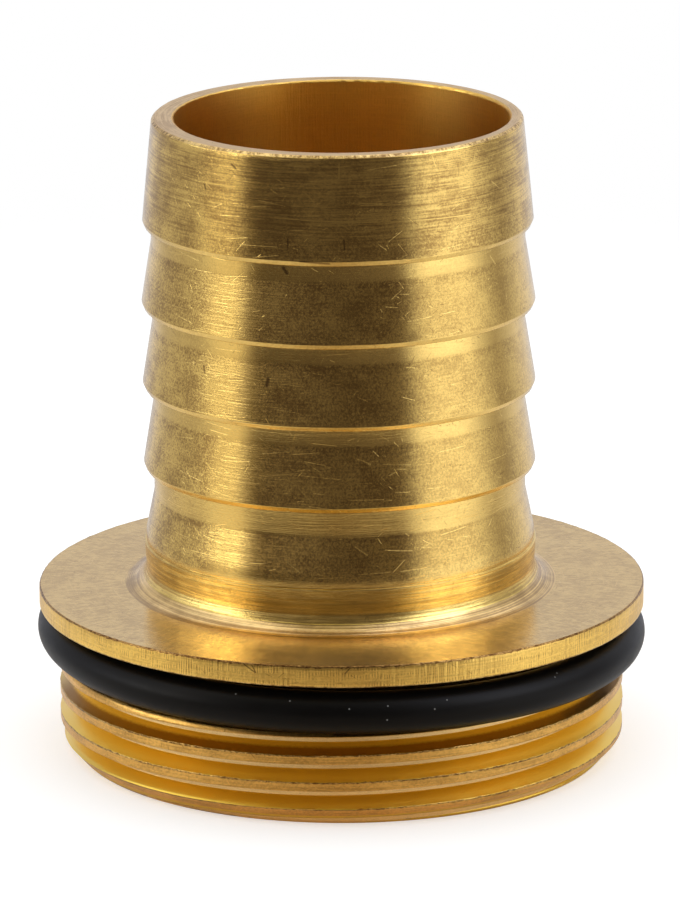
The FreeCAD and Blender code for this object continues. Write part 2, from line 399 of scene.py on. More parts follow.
def add_spigot(turning):
    """The thread from the relief down to the flat end, and the waterway back up to the lip."""
    heights, radii, offsets = thread_rows()
    for row in range(len(heights) - 1, -1, -1):
        turning.add(spigot_ring(radii[row], heights[row]), thread_zone(offsets[row]))
    turning.add(spigot_ring(SPIGOT_BORE + SPIGOT_BORE_CHAMFER, 0.0), "end")
    turning.add(spigot_ring(SPIGOT_BORE, SPIGOT_BORE_CHAMFER), "end")
    for height in np.linspace(SPIGOT_BORE_CHAMFER, SHOULDER_FOOT, 5)[1:]:
        turning.add(spigot_ring(SPIGOT_BORE, height), "bore")
    for share in (0.03, 0.5, 0.97, 1.0):
        radius = SPIGOT_BORE + (BORE - SPIGOT_BORE) * share
        height = SHOULDER_FOOT + (SHOULDER_TOP - SHOULDER_FOOT) * share
        turning.add(spigot_ring(radius, height), "bore")
    for height in np.linspace(SHOULDER_TOP, FLANGE_TOP + TAIL_HEIGHT - 0.2, 13)[1:]:
        turning.add(spigot_ring(BORE, height), "bore")
    turning.add(mouth_ring(), "bore")


# The turned body's mesh. Its lathe attribute wraps every ring to one radius and counts along the
# profile, so that a texture in it turns with the lathe and keeps its scale.
LATHE_RADIUS = 20


def write_attributes(mesh, turning, radii, faces):
    """The lathe's and the wear's attributes, and the surface unrolled at its own radius."""
    rows, columns = len(turning.rings), len(PHI)
    along = np.repeat(np.array(turning.along), columns)
    lathe = mesh.attributes.new("lathe", "FLOAT_VECTOR", "POINT")
    spin = [np.tile(COS * LATHE_RADIUS, rows), np.tile(SIN * LATHE_RADIUS, rows), along]
    lathe.data.foreach_set("vector", np.stack(spin, 1).astype(np.float32).ravel())
    wear = mesh.attributes.new("wear", "FLOAT", "POINT")
    worn = np.repeat(np.array(turning.wear), columns)
    wear.data.foreach_set("value", worn.astype(np.float32))
    sheet = np.stack([np.repeat(radii, columns) * np.tile(PHI - FRONT, rows), along], 1)
    unrolled = mesh.uv_layers.new(name="unrolled")
    unrolled.data.foreach_set("uv", sheet[faces.ravel()].astype(np.float32).ravel())


def weld(mesh):
    """Close the seam and both ends of the profile, and turn all faces outward."""
    work = bmesh.new()
    work.from_mesh(mesh)
    bmesh.ops.remove_doubles(work, verts=work.verts, dist=2e-7)
    bmesh.ops.dissolve_degenerate(work, edges=work.edges, dist=1e-7)
    bmesh.ops.recalc_face_normals(work, faces=work.faces)
    work.to_mesh(mesh)
    work.free()


def keep_flats_flat(mesh):
    """Normals that lean to the larger faces, so that only the small rounds at the edges shade."""
    count = len(mesh.polygons)
    normals = np.empty(count * 3)
    areas = np.empty(count)
    corners = np.empty(count, np.int64)
    at = np.empty(len(mesh.loops), np.int64)
    mesh.polygons.foreach_get("normal", normals)
    mesh.polygons.foreach_get("area", areas)
    mesh.polygons.foreach_get("loop_total", corners)
    mesh.loops.foreach_get("vertex_index", at)
    weighed = np.repeat(normals.reshape(-1, 3) * areas[:, None], corners, axis=0)
    total = np.zeros((len(mesh.vertices), 3))
    for axis in range(3):
        total[:, axis] = np.bincount(at, weighed[:, axis], len(mesh.vertices))
    total /= np.maximum(np.linalg.norm(total, axis=1, keepdims=True), 1e-20)
    mesh.polygons.foreach_set("use_smooth", [True] * count)
    mesh.normals_split_custom_set_from_vertices(total.tolist())


def turned_body():
    """The whole turned surface as one closed mesh."""
    turning = Turning()
    add_tail(turning)
    add_flange(turning)
    add_spigot(turning)
    rings = np.stack(turning.rings)
    rows, columns = rings.shape[:2]
    index = np.arange(rows * columns).reshape(rows, columns)
    corners = [index[:-1, :-1], index[:-1, 1:], index[1:, 1:], index[1:, :-1]]
    faces = np.stack([corner.ravel() for corner in corners], 1)
    mesh = bpy.data.meshes.new("turned_body")
    mesh.from_pydata((rings.reshape(-1, 3) * MM).tolist(), [], faces.tolist())
    zones = np.repeat(np.array(turning.zones[1:]), columns - 1)
    mesh.polygons.foreach_set("material_index", zones.astype(np.int32))
    radii = np.linalg.norm(rings[:, :, :2], axis=2).mean(axis=1)
    write_attributes(mesh, turning, radii, faces)
    weld(mesh)
    keep_flats_flat(mesh)
    for name in ZONES:
        mesh.materials.append(brass(name, **FINISH[name]))
    body = bpy.data.objects.new("turned_body", mesh)
    bpy.context.scene.collection.objects.link(body)
    return body


# Shader nodes
def node(tree, kind, inputs=None, **settings):
    """A new node with its settings, and each input either linked or set."""
    made = tree.nodes.new(kind)
    for name, value in settings.items():
        setattr(made, name, value)
    for name, value in (inputs or {}).items():
        if isinstance(value, bpy.types.NodeSocket):
            tree.links.new(value, made.inputs[name])
        else:
            made.inputs[name].default_value = value
    return made


def sums(tree, operation, a, b=0.0, c=0.0, clamp=False):
    """One step of arithmetic."""
    made = node(tree, "ShaderNodeMath", {0: a, 1: b, 2: c}, operation=operation, use_clamp=clamp)
    return made.outputs[0]


def times(tree, first, *others):
    """The product of several values."""
    for other in others:
        first = sums(tree, "MULTIPLY", first, other)
    return first


def plus(tree, base, value, factor=1.0, clamp=False):
    """A value, times a factor, added to a base."""
    return sums(tree, "MULTIPLY_ADD", value, factor, base, clamp)


def vector(tree, operation, a, b=(0, 0, 0), c=(0, 0, 0)):
    """One step of vector arithmetic."""
    made = node(tree, "ShaderNodeVectorMath", {0: a, 1: b, 2: c}, operation=operation)
    single = operation in ("DOT_PRODUCT", "DISTANCE", "LENGTH")
    return made.outputs["Value" if single else "Vector"]


def ramp(tree, value, low, high):
    """0 up to low and 1 from high on, with a smooth run between. low may be the larger one."""
    inputs = {"Value": value, "From Min": low, "From Max": high}
    return node(tree, "ShaderNodeMapRange", inputs, interpolation_type="SMOOTHSTEP").outputs[0]


def grain(tree, place, scale, detail, roughness=0.6):
    """Noise in a stretched space."""
    stretched = vector(tree, "MULTIPLY", place, scale)
    inputs = {"Vector": stretched, "Scale": 1.0, "Detail": detail, "Roughness": roughness}
    return node(tree, "ShaderNodeTexNoise", inputs).outputs["Fac"]


def blend(tree, share, a, b):
    """A mix of two colours."""
    made = node(tree, "ShaderNodeMix", data_type="RGBA")
    for place, value in ((0, share), (6, a), (7, b)):
        if isinstance(value, bpy.types.NodeSocket):
            tree.links.new(value, made.inputs[place])
        else:
            made.inputs[place].default_value = value if place == 0 else (*value, 1.0)
    return made.outputs[2]


def scratches(tree, sheet, cell, width, length, spread, shift):
    """Straight scratches on the unrolled surface, one to a cell, each at its own angle.

    spread is the widest angle from the lathe's lines, in degrees, and shift moves the cells.
    """
    moved = vector(tree, "ADD", sheet, (shift, shift * 1.7, 0))
    packed = vector(tree, "MULTIPLY", moved, (1 / cell[0], 1 / cell[1], 0))
    inputs = {"Vector": packed, "Scale": 1.0}
    cells = node(tree, "ShaderNodeTexVoronoi", inputs, voronoi_dimensions="2D")
    away = vector(tree, "SUBTRACT", packed, cells.outputs["Position"])
    away = vector(tree, "MULTIPLY", away, (*cell, 0))
    chance = node(tree, "ShaderNodeSeparateColor", {0: cells.outputs["Color"]})
    angle = times(tree, sums(tree, "SUBTRACT", chance.outputs[0], 0.5), 2 * math.radians(spread))
    inputs = {"Vector": away, "Angle": angle}
    turned = node(tree, "ShaderNodeVectorRotate", inputs, rotation_type="Z_AXIS").outputs[0]
    place = node(tree, "ShaderNodeSeparateXYZ", {0: turned})
    reach = times(tree, plus(tree, 0.25, chance.outputs[1]), length / 2)
    beyond = sums(tree, "SUBTRACT", sums(tree, "ABSOLUTE", place.outputs[0]), reach)
    across = ramp(tree, sums(tree, "ABSOLUTE", place.outputs[1]), width, width * 0.2)
    ends = ramp(tree, beyond, 0.0, -0.1 * length)
    return times(tree, across, ends, ramp(tree, chance.outputs[2], 0.45, 1.0))


def drawn(tree, sheet, marks):
    """Single marks on the unrolled surface, each from one point to another with its own width."""
    total = 0.0
    for x0, y0, x1, y1, width in marks:
        length = math.hypot(x1 - x0, y1 - y0)
        run = ((x1 - x0) / length, (y1 - y0) / length, 0)
        away = vector(tree, "SUBTRACT", sheet, (x0, y0, 0))
        reach = vector(tree, "DOT_PRODUCT", away, run)
        inputs = {"Value": reach, "Min": 0.0, "Max": length}
        reach = node(tree, "ShaderNodeClamp", inputs).outputs[0]
        gap = vector(tree, "DISTANCE", away, vector(tree, "MULTIPLY", run, reach))
        total = sums(tree, "MAXIMUM", total, ramp(tree, gap, width, width * 0.3))
    return total


# Marks seen singly, on the unrolled surface: from x, y to x, y and half width.
# x counts round from the front and y down along the profile from the lip's inner edge.
TAIL_SCRATCHES = [
    (-5.2, 6.4, 11.8, 7.0, 0.05), (0.15, 1.8, 0.15, 3.1, 0.06), (1.9, 5.3, 5.2, 5.4, 0.05),
    (7.9, 1.2, 8.4, 2.6, 0.06), (-6.5, 20.4, -5.7, 19.9, 0.08), (-4.8, 21.7, -3.4, 21.5, 0.07),
    (-15.3, 21.4, -15.0, 22.1, 0.09), (-14.3, 21.5, -14.0, 22.1, 0.09), (-13.3, 21.8, -12.3, 22.1, 0.08),
    (-12.0, 22.2, -11.8, 23.2, 0.08), (-13.1, 23.2, -12.0, 23.5, 0.08), (-6.4, 30.3, -3.8, 29.95, 0.08),
    (-6.0, 30.75, -3.1, 30.5, 0.07), (-4.4, 31.6, -4.0, 31.2, 0.1), (-3.3, 31.2, -2.4, 32.1, 0.08),
    (-14.6, 30.9, -13.2, 32.6, 0.09), (-12.1, 30.0, -11.0, 30.9, 0.09), (-11.4, 32.3, -10.4, 31.5, 0.09),
]
TAIL_DENTS = [
    (-12.0, 4.4, -11.8, 4.8, 0.12), (-9.1, 2.4, -8.7, 2.7, 0.12), (-4.1, 8.1, -4.1, 8.8, 0.09),
    (0.5, 8.1, 0.55, 8.9, 0.09), (-3.1, 9.9, -0.7, 10.05, 0.12), (-4.5, 11.2, -4.2, 11.6, 0.2),
    (-12.3, 21.1, -12.2, 21.6, 0.14), (-5.9, 21.3, -6.05, 21.9, 0.2),
]
FLANGE_NICKS = [
    (0.3, 53.3, 1.4, 52.1, 0.08), (-8.3, 52.7, -7.1, 53.5, 0.08), (-7.6, 52.5, -7.05, 53.5, 0.07),
    (-3.3, 52.5, -3.1, 52.8, 0.1),
]

# Colours of the painted reflection of the dark O-ring in the thread's top turn, and of the inside of a
# dent
DARK_RING_REFLECTION = (0.3, 0.14, 0.012)
PIT = (0.16, 0.08, 0.025)

# Which way the brass draws a light out, as turns away from round the axis
ACROSS = 0.25
AROUND = 0.0

# The finish of each zone, in the terms of brass()
FINISH = {
    "bore": dict(
        bright=(0.92, 0.57, 0.12), dull=(0.62, 0.33, 0.06), stain=0.3, rough=0.28, lines=0.5,
        chatter=3.0, shadow=0.15,
    ),
    # The lip's front is darkened with painted shade
    "lip": dict(
        bright=(0.8, 0.55, 0.24), dull=(0.4, 0.23, 0.08), stain=0.7, rough=0.3, lines=4.0,
        lined=0.8, front=0.4, marks=0.8,
    ),
    # Below the first barb the tail's stains are thinned as a painted highlight where the lamps are
    # reflected
    "tail": dict(
        bright=(0.9, 0.61, 0.175), dull=(0.36, 0.21, 0.06), stain=0.95, rough=0.16, lines=2.4,
        around=0.14, feed=6.5, grit=0.5, streak=0.6, worn=True, marks=1.2,
        nicks=TAIL_SCRATCHES, dents=TAIL_DENTS,
    ),
    "edge": dict(
        bright=(0.95, 0.66, 0.24), dull=(0.28, 0.15, 0.05), stain=1.0, rough=0.3, lines=0.3,
        lined=0.0, speck=(2.4, 2.4, 2.4),
    ),
    "root": dict(
        bright=(1.0, 0.71, 0.21), dull=(0.5, 0.32, 0.085), stain=0.8, rough=0.18, lines=6.0,
        lined=0.9, around=0.1, feed=4.5, marks=0.3,
    ),
    "fillet": dict(
        bright=(0.88, 0.6, 0.24), dull=(0.36, 0.22, 0.08), stain=0.9, rough=0.18, lines=8.0,
        lined=1.0, around=0.02, feed=4.5, streak=0.5,
    ),
    "face": dict(
        bright=(0.87, 0.605, 0.235), dull=(0.45, 0.28, 0.1), stain=0.55, rough=0.12, lines=1.5,
        lined=0.2, speck=(2.6, 2.6, 1.1), grit=1.0, streak=0.3, metal=0.88, marks=0.6,
        dents=FLANGE_NICKS,
    ),
    "rim": dict(
        bright=(1.0, 0.65, 0.15), dull=(0.45, 0.25, 0.06), stain=0.5, rough=0.28, lines=1.0,
        chatter=9.0, shadow=0.45, way=AROUND, marks=1.0, dents=FLANGE_NICKS,
    ),
    "under": dict(
        bright=(0.8, 0.5, 0.13), dull=(0.4, 0.24, 0.08), stain=0.3, rough=0.24, lines=0.6,
    ),
    # The flank's front is darkened with painted shade, and its top turn holds a painted reflection of
    # the dark O-ring
    "flank": dict(
        bright=(1.0, 0.7, 0.17), dull=(0.7, 0.45, 0.02), stain=0.2, rough=0.32, lines=2.0,
        lined=0.9, feed=4.0, front=0.6, ring_reflection=(65.9, 66.35, 67.0),
    ),
    "groove": dict(
        bright=(0.86, 0.58, 0.24), dull=(0.5, 0.32, 0.12), stain=0.3, rough=0.2, lines=2.0,
    ),
    # The burr along each crest's upper edge is dark brown: partly its own torn metal, partly painted
    # shade on its shadow side
    "burr": dict(
        bright=(0.7, 0.42, 0.12), dull=(0.18, 0.09, 0.025), stain=1.0, rough=0.3, lines=0.2,
        lined=0.0, grit=8.0,
    ),
    # Dark brown along the rim's chipped top edge: partly the metal's own colour in the chips, partly
    # painted shade in them
    "chip": dict(
        bright=(0.5, 0.28, 0.08), dull=(0.12, 0.05, 0.012), stain=1.0, rough=0.3, lines=0.2,
        lined=0.0, grit=8.0,
    ),
    "land": dict(
        bright=(0.88, 0.5, 0.12), dull=(0.4, 0.21, 0.05), stain=0.7, rough=0.3, lines=4.0,
        marks=1.0,
    ),
    "end": dict(
        bright=(0.88, 0.57, 0.2), dull=(0.45, 0.26, 0.08), stain=0.8, rough=0.3, lines=6.0,
        lined=0.9, feed=4.5, metal=0.86,
    ),
}


class Surface:
    """Places on the turned surface, and the textures that its finish is mixed from."""

    def __init__(self, tree, speck, around, feed):
        self.tree = tree
        self.lathe = node(tree, "ShaderNodeAttribute", attribute_name="lathe").outputs["Vector"]
        self.sheet = node(tree, "ShaderNodeUVMap", uv_map="unrolled").outputs[0]
        self.x, self.y, self.along = node(tree, "ShaderNodeSeparateXYZ", {0: self.lathe}).outputs
        self.patches = grain(tree, self.lathe, (0.25, 0.25, 0.4), 5.0, 0.65)
        self.spots = grain(tree, self.lathe, speck, 3.0, 0.75)
        self.turned = grain(tree, self.lathe, (around, around, feed), 3.0, 0.75)
        self.pores = grain(tree, self.lathe, (6.0, 6.0, 8.0), 2.0)


# Where the tail's tarnish changes, along the profile: lathe lines show above, spots below, and
# below the first barb the stains are thinned on a strip at the left and on the whole right side,
# a painted highlight where the lamps are reflected
LINES_END = (6.0, 12.0)
HIGHLIGHT_START = (8.0, 14.0)
STRIP_PLACE = -10.8
STRIP_EDGE = (3.2, 1.4)
RIGHT_SIDE = (6.0, 9.0)


def stained(surface, stain, lined, front, worn):
    """How thick the stains are: patches with spots and lathe lines, and painted shade in front."""
    tree = surface.tree
    if worn:
        lined = plus(tree, 0.6, ramp(tree, surface.along, *LINES_END), -0.4)
    fine = node(tree, "ShaderNodeMix", {0: lined, 2: surface.spots, 3: surface.turned}).outputs[0]
    mottle = plus(tree, times(tree, surface.patches, 0.35), fine, 0.65)
    cover = times(tree, ramp(tree, mottle, 0.4, 0.6), stain)
    # Painted shade: at least this much dull colour over the front, the side towards the camera
    if front:
        near = ramp(tree, surface.y, 4.0, -17.0)
        cover = sums(tree, "MAXIMUM", cover, times(tree, near, front))
    return cover


def rubbed(surface, cover):
    """The stains after years of hands, off the barbs' edges and kept in corners, and thinned as a
    painted highlight where the lamps are reflected.
    """
    tree = surface.tree
    wear = node(tree, "ShaderNodeAttribute", attribute_name="wear").outputs["Fac"]
    uneven = times(tree, sums(tree, "SUBTRACT", surface.spots, 0.5), 0.8)
    bare = ramp(tree, plus(tree, wear, uneven), 0.35, 0.75)
    cover = times(tree, cover, plus(tree, 1.0, bare, -0.6))
    kept = sums(tree, "MAXIMUM", sums(tree, "SUBTRACT", uneven, wear), 0.0)
    kept = ramp(tree, times(tree, kept, surface.patches), 0.2, 0.9)
    cover = plus(tree, cover, kept, clamp=True)
    # Painted highlight: stains thinned on a strip at the left and over the right side, where the lamps
    # are reflected
    off = sums(tree, "ABSOLUTE", plus(tree, -STRIP_PLACE, surface.x))
    left_highlight = times(tree, ramp(tree, off, *STRIP_EDGE), 0.6)
    right = times(tree, ramp(tree, surface.x, *RIGHT_SIDE), 0.4)
    lamp_highlight = sums(tree, "MAXIMUM", left_highlight, right)
    lamp_highlight = times(tree, lamp_highlight, ramp(tree, surface.along, *HIGHLIGHT_START))
    return times(tree, cover, plus(tree, 1.0, lamp_highlight, -1.0))


def handled(surface, cover, height, marks):
    """Bright scratches and dark scuffs from handling: short knocks in crowds, long lines, strays."""
    tree, sheet = surface.tree, surface.sheet
    crowded = ramp(tree, grain(tree, surface.lathe, (0.35, 0.35, 0.45), 2.0, 0.5), 0.46, 0.6)
    knocks = times(tree, scratches(tree, sheet, (0.6, 0.6), 0.035, 0.8, 75, 3.1), crowded)
    long = scratches(tree, sheet, (3.2, 0.9), 0.035, 3.6, 9, 11.7)
    stray = scratches(tree, sheet, (1.9, 1.4), 0.04, 1.3, 60, 23.3)
    cut = sums(tree, "MAXIMUM", sums(tree, "MAXIMUM", knocks, long), stray)
    scuffs = times(tree, scratches(tree, sheet, (0.7, 0.5), 0.045, 0.7, 80, 41.9), crowded)
    cover = plus(tree, cover, scuffs, 0.7)
    return plus(tree, cover, cut, -0.5, clamp=True), plus(tree, height, cut, -marks)


def chattered(surface, cover, height, chatter, shadow):
    """Marks across the lathe's lines where the tool or the bar shook, bumped, with painted shadow lines
    on them.
    """
    tree = surface.tree
    shakes = grain(tree, surface.lathe, (3.6, 3.6, 0.3), 2.0, 0.5)
    height = plus(tree, height, shakes, chatter)
    turn = node(tree, "ShaderNodeSeparateXYZ", {0: surface.sheet}).outputs[0]
    # Painted shadow: dark lines along the shake marks, as dark as shadow sets
    comb = sums(tree, "SINE", plus(tree, times(tree, turn, 26.0), shakes, 12.0))
    places = ramp(tree, grain(tree, surface.lathe, (0.6, 0.6, 1.6), 2.0), 0.42, 0.62)
    return plus(tree, cover, times(tree, comb, places), shadow, clamp=True), height


def painted_ring_reflection(surface, colour, ring_reflection):
    """Painted reflection of the dark O-ring: dark brown along one stretch of the profile, the thread's
    top turn under the ring, on the front half.
    """
    tree = surface.tree
    start, full, end = ring_reflection
    uneven = plus(tree, surface.along, surface.spots, 0.3)
    # How strong the painted reflection of the dark O-ring is
    thick = times(tree, ramp(tree, uneven, start, full), ramp(tree, uneven, end + 0.2, end))
    thick = times(tree, thick, ramp(tree, surface.y, 4.0, -5.0))
    return blend(tree, thick, colour, DARK_RING_REFLECTION)


def brass(name, bright, dull, stain, rough, lines, grit=1.5, marks=0.0, chatter=0.0, shadow=0.0,
          worn=False, front=0.0, way=ACROSS, streak=0.35, lined=0.5, metal=1.0, feed=7.5,
          around=0.22, speck=(4.4, 4.4, 5.2), nicks=(), dents=(), ring_reflection=()):
    """Turned brass, from its bright colour to the dull one where stains are thick.

    stain, front and lined: how thick the stains are, how much painted shade at least covers the front,
    and how much of the stains follows the lathe's lines. lines, grit, marks and chatter: how deep the
    lathe's lines, pores, scratches and shake marks are, and shadow is how dark the painted shadow in
    the shake marks is. feed, around and speck: how close the lines and spots lie. streak and way: how
    far a light is drawn out, and in which direction. worn: rubbed by hands, with painted highlights
    where the lamps are reflected. nicks and dents: single bright and single dark marks. grime: where
    the painted reflection of the dark O-ring starts, is full and ends.
    """
    material = bpy.data.materials.new("brass_" + name)
    material.use_nodes = True
    tree = material.node_tree
    surface = Surface(tree, speck, around, feed)
    cover = stained(surface, stain, lined, front, worn)
    height = plus(tree, times(tree, surface.turned, lines), surface.pores, grit)
    if worn:
        cover = rubbed(surface, cover)
    if marks:
        cover, height = handled(surface, cover, height, marks)
    if nicks:
        cover = plus(tree, cover, drawn(tree, surface.sheet, nicks), -0.9, clamp=True)
    if chatter:
        cover, height = chattered(surface, cover, height, chatter, shadow)
    colour = blend(tree, cover, bright, dull)
    if dents:
        colour = blend(tree, times(tree, drawn(tree, surface.sheet, dents), 0.75), colour, PIT)
    # Painted reflection of the dark O-ring in the thread's top turn
    if ring_reflection:
        colour = painted_ring_reflection(surface, colour, ring_reflection)
    shader = tree.nodes["Principled BSDF"]
    tree.links.new(colour, shader.inputs["Base Color"])
    tree.links.new(plus(tree, rough, cover, 0.07), shader.inputs["Roughness"])
    shader.inputs["Metallic"].default_value = metal
    shader.inputs["Anisotropic"].default_value = streak
    shader.inputs["Anisotropic Rotation"].default_value = way
    tangent = node(tree, "ShaderNodeTangent", direction_type="RADIAL", axis="Z").outputs[0]
    tree.links.new(tangent, shader.inputs["Tangent"])
    bump = node(tree, "ShaderNodeBump", {"Height": height, "Strength": 1.0, "Distance": 6e-6})
    tree.links.new(bump.outputs[0], shader.inputs["Normal"])
    return material


def hung(round_turn, section_turn):
    """Points of the O-ring's surface, by angles round it and round its section, as it hangs."""
    radius = RING_RADIUS + CORD / 2 * np.cos(section_turn)
    x, y = radius * np.cos(round_turn), radius * np.sin(round_turn)
    z = CORD / 2 * np.sin(section_turn) + 0 * round_turn
    x, z = (x * math.cos(RING_TILT) + z * math.sin(RING_TILT),
            z * math.cos(RING_TILT) - x * math.sin(RING_TILT))
    x, y = (x * math.cos(RING_LOW_SIDE) - y * math.sin(RING_LOW_SIDE),
            x * math.sin(RING_LOW_SIDE) + y * math.cos(RING_LOW_SIDE))
    return np.stack([x, y, z + SPIGOT_HEIGHT - RING_CLEARANCE - CORD / 2 - RING_RISE], -1)


# Specks of dust on the O-ring, by degrees round it and round its section
DUST = [
    (5.3, 57.5), (4.2, 47.5), (299.9, 50.4), (310.4, 44.5), (321.4, 27.5),
    (328.5, 34.0), (328.3, -3.9), (337.2, 18.1), (339.8, 39.7),
]


def rubber():
    """Black rubber with a dull sheen, a fine grain and a few specks of dust."""
    material = bpy.data.materials.new("black_rubber")
    material.use_nodes = True
    tree = material.node_tree
    shader = tree.nodes["Principled BSDF"]
    place = node(tree, "ShaderNodeTexCoord").outputs["Object"]
    fine = grain(tree, place, (9000, 9000, 9000), 3.0)
    smear = grain(tree, place, (300, 300, 900), 4.0)
    black = blend(tree, smear, (0.001, 0.001, 0.001), (0.003, 0.003, 0.003))
    dusty = 0.0
    for speck in np.radians(DUST):
        gap = vector(tree, "DISTANCE", place, tuple(hung(*speck) * MM))
        dusty = sums(tree, "MAXIMUM", dusty, ramp(tree, gap, 0.09 * MM, 0.04 * MM))
    tree.links.new(blend(tree, dusty, black, (0.16, 0.16, 0.155)), shader.inputs["Base Color"])
    tree.links.new(plus(tree, 0.3, smear, 0.2), shader.inputs["Roughness"])
    bump = node(tree, "ShaderNodeBump", {"Height": fine, "Strength": 1.0, "Distance": 4e-6})
    tree.links.new(bump.outputs[0], shader.inputs["Normal"])
    shader.inputs["Specular IOR Level"].default_value = 0.15
    shader.inputs["Specular Tint"].default_value = (1.0, 0.92, 0.82, 1.0)
    return material


def rubber_ring():
    """The O-ring, hung a little crooked under the flange."""
    round_steps, cord_steps = 240, 56
    round_turn = np.linspace(0, 2 * math.pi, round_steps, endpoint=False)[:, None]
    section_turn = np.linspace(0, 2 * math.pi, cord_steps, endpoint=False)[None, :]
    points = hung(round_turn, section_turn).reshape(-1, 3)
    index = np.arange(round_steps * cord_steps).reshape(round_steps, cord_steps)
    ahead, up = np.roll(index, -1, 0), np.roll(index, -1, 1)
    faces = np.stack([index, ahead, np.roll(ahead, -1, 1), up], 2).reshape(-1, 4)
    mesh = bpy.data.meshes.new("rubber_ring")
    mesh.from_pydata((points * MM).tolist(), [], faces.tolist())
    mesh.polygons.foreach_set("use_smooth", [True] * len(mesh.polygons))
    mesh.materials.append(rubber())
    ring = bpy.data.objects.new("rubber_ring", mesh)
    bpy.context.scene.collection.objects.link(ring)
    return ring


# Object
body = turned_body()
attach(body, "root")
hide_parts("connector_body")
ring = rubber_ring()
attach(ring, "root")
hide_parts("o_ring")

# Floor: a white sheet that keeps the shadow and fades into the white room around it
FLOOR_RADIUS = 0.5
FLOOR_SIDES = 96
FLOOR_GLOW = 0.42

# Its colours in the metal's reflections: white beside the part, and painted shade ahead of and behind
# it, lighter and warmer close by
BESIDE = (0.95, 0.95, 0.97)
SHADE_AHEAD = (0.5, 0.42, 0.34)
SHADE_AHEAD_CLOSE = (0.95, 0.8, 0.6)

# Distances from the part's axis, in metres, over which the floor turns into its close colour and
# fades out, to the camera and in reflections
CLOSE_BY = (0.036, 0.028)
SEEN_FADE = (0.10, 0.20)
MIRRORED_FADE = (0.055, 0.1)


def floor_colour(tree, distance, place, mirrored):
    """White, and in the metal's reflections darkened with painted shade in front of and behind the part,
    lighter and warmer close by.
    """
    x = node(tree, "ShaderNodeSeparateXYZ", {0: place}).outputs[0]
    aside = sums(tree, "DIVIDE", sums(tree, "ABSOLUTE", x), distance)
    ahead = blend(tree, ramp(tree, distance, *CLOSE_BY), SHADE_AHEAD, SHADE_AHEAD_CLOSE)
    return blend(tree, mirrored, (0.8, 0.8, 0.8), blend(tree, aside, ahead, BESIDE))


def floor_sheet():
    """A round white sheet under the part."""
    corners = []
    for turn in np.linspace(0, 2 * math.pi, FLOOR_SIDES, endpoint=False):
        corners.append((FLOOR_RADIUS * math.cos(turn), FLOOR_RADIUS * math.sin(turn), 0))
    mesh = bpy.data.meshes.new("floor")
    mesh.from_pydata(corners, [], [tuple(range(FLOOR_SIDES))])
    material = bpy.data.materials.new("floor_white")
    material.use_nodes = True
    tree = material.node_tree
    tree.nodes.clear()
    light = node(tree, "ShaderNodeLightPath")
    seen, mirrored = light.outputs["Is Camera Ray"], light.outputs["Is Glossy Ray"]
    place = node(tree, "ShaderNodeTexCoord").outputs["Object"]
    distance = vector(tree, "LENGTH", place)
    colour = floor_colour(tree, distance, place, mirrored)
    diffuse = node(tree, "ShaderNodeBsdfDiffuse", {"Color": colour})
    glow = node(tree, "ShaderNodeEmission", {"Strength": times(tree, seen, FLOOR_GLOW)})
    sheet = node(tree, "ShaderNodeAddShader", {0: diffuse.outputs[0], 1: glow.outputs[0]})
    unseen = times(tree, seen, ramp(tree, distance, *SEEN_FADE))
    unmirrored = times(tree, mirrored, ramp(tree, distance, *MIRRORED_FADE))
    gone = sums(tree, "MAXIMUM", unseen, unmirrored)
    away = node(tree, "ShaderNodeBsdfTransparent").outputs[0]
    surface = node(tree, "ShaderNodeMixShader", {0: gone, 1: sheet.outputs[0], 2: away})
    node(tree, "ShaderNodeOutputMaterial", {"Surface": surface.outputs[0]})
    mesh.materials.append(material)
    floor = bpy.data.objects.new("floor", mesh)
    bpy.context.scene.collection.objects.link(floor)
    return floor


floor_sheet()

# Studio: how bright a room the metal sees in each direction, in degrees to the right of the
# camera's side
STUDIO = [
    (-180, 0.78), (-150, 0.8), (-136, 0.62), (-118, 0.56), (-100, 0.52), (-90, 0.6),
    (-78, 0.77), (-65, 0.77), (-60, 0.48), (-54, 0.14), (-44, 0.095), (-25, 0.1),
    (0, 0.112), (15, 0.128), (28, 0.142), (34, 0.155), (40, 0.23), (45, 0.6),
    (51, 1.0), (60, 1.27), (74, 1.27), (84, 1.2), (94, 0.85), (104, 0.55),
    (113, 0.42), (124, 0.6), (138, 0.85), (155, 0.85), (180, 0.78),
]

# Tints of its dim and its clear parts, with the levels where they hold, and of the left lamp,
# with its middle and its reach in degrees
DIM = (0.1, (1.0, 0.84, 0.76))
CLEAR = (0.6, (1.0, 1.02, 1.12))
WARM_LAMP = (-70, 30, (1.0, 0.92, 0.78))

# Where the room changes up and down, as sines of the angle above the horizon: the walls change
# over the first two, a light at the left ends over the third, the wall behind the part brightens
# over the fourth, and the ceiling begins over the last
WALL_UP = (0.08, 0.18)
WALL_DOWN = (-0.12, -0.3)
KEY_EDGE = (0.38, 0.25)
BACK_EDGE = (0.36, 0.54)
CEILING_EDGE = (0.66, 0.88)

# How much more of each colour the walls' change takes, and the ceiling's gain on the horizon's
# colour, with its own light
WALL_TINT = (1.0, 1.12, 1.3)
CEILING_GAIN = (0.95, 1.05, 1.6)
CEILING_LIGHT = (0.64, 0.63, 0.42)


def tinted(degrees, level):
    """A part of the room: warm where it is dim and at the left lamp, a little cool elsewhere."""
    middle, reach, colour = WARM_LAMP
    lamp = max(0.0, 1 - abs(degrees - middle) / reach)
    clear = (1 - lamp) * np.array(CLEAR[1]) + lamp * np.array(colour)
    share = np.clip((level - DIM[0]) / (CLEAR[0] - DIM[0]), 0, 1)
    return level * ((1 - share) * np.array(DIM[1]) + share * clear)


